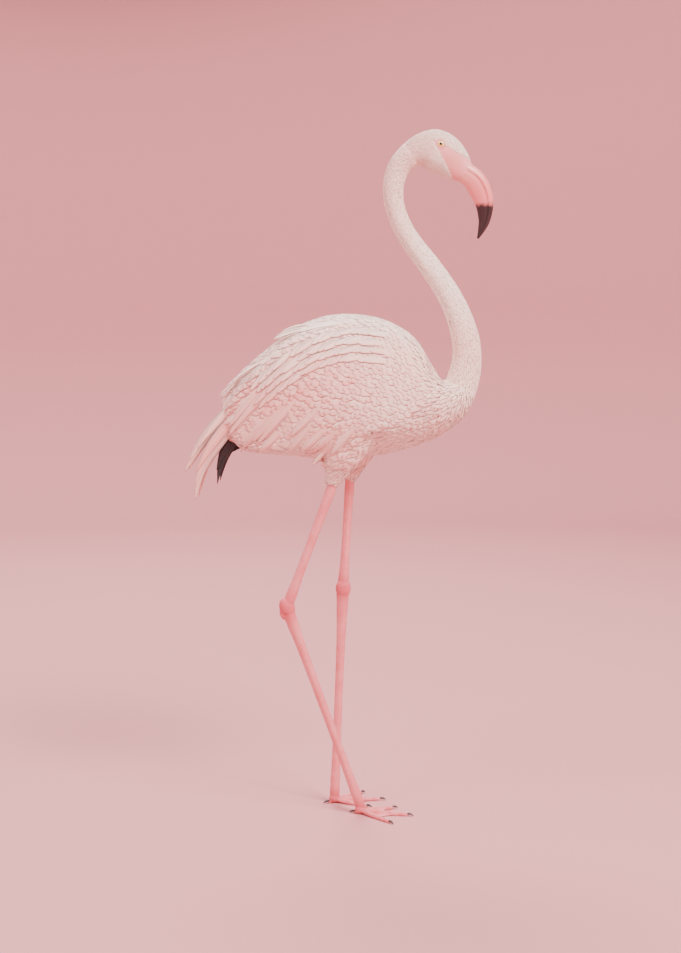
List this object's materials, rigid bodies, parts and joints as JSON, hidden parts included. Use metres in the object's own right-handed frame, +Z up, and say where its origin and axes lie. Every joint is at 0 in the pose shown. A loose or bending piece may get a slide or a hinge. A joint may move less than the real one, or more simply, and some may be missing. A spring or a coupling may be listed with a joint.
{
  "type": "standing greater flamingo",
  "caption": "Life-size model of a standing pale pink flamingo, neck in an S, wings folded, one leg stepping forward.",
  "frame": {"origin": "on the floor, under the middle of the bird's box", "axes": "+X the way the bird faces, +Y its left side, +Z up"},
  "size_m": [0.5342, 0.187, 1.1942],
  "materials": {
    "body_plumage": "dense white plumage with a faint pink flush, matt and soft",
    "wing_plumage": "overlapping pale rose wing feathers with paler edges, matt",
    "flight_feather": "black flight feathers, low sheen",
    "leg_skin": "bare pink leg skin with fine plate-like scales, low sheen",
    "bill": "smooth pink horn with a black tip, satin",
    "claw": "dark horn, satin",
    "eye": "wet pale yellow eye with a round black pupil"
  },
  "bodies": {
    "root": {"trunk": "body_plumage", "neck_base": "body_plumage", "neck_lower": "body_plumage", "neck_upper": "body_plumage", "head": "body_plumage", "tail": "body_plumage", "thigh_right": "body_plumage", "thigh_left": "body_plumage", "wing_right": "wing_plumage", "wing_left": "wing_plumage", "tertials_right": "wing_plumage", "tertials_left": "wing_plumage", "primaries_right": "flight_feather", "primaries_left": "flight_feather", "shank_right": "leg_skin", "shank_left": "leg_skin", "ankle_right": "leg_skin", "ankle_left": "leg_skin", "tarsus_right": "leg_skin", "tarsus_left": "leg_skin", "foot_right": "leg_skin", "foot_left": "leg_skin", "bill_upper": "bill", "bill_lower": "bill", "claw_inner_right": "claw", "claw_inner_left": "claw", "claw_middle_right": "claw", "claw_middle_left": "claw", "claw_outer_right": "claw", "claw_outer_left": "claw", "claw_hind_right": "claw", "claw_hind_left": "claw", "eye_right": "eye", "eye_left": "eye"}
  },
  "joints": []
}
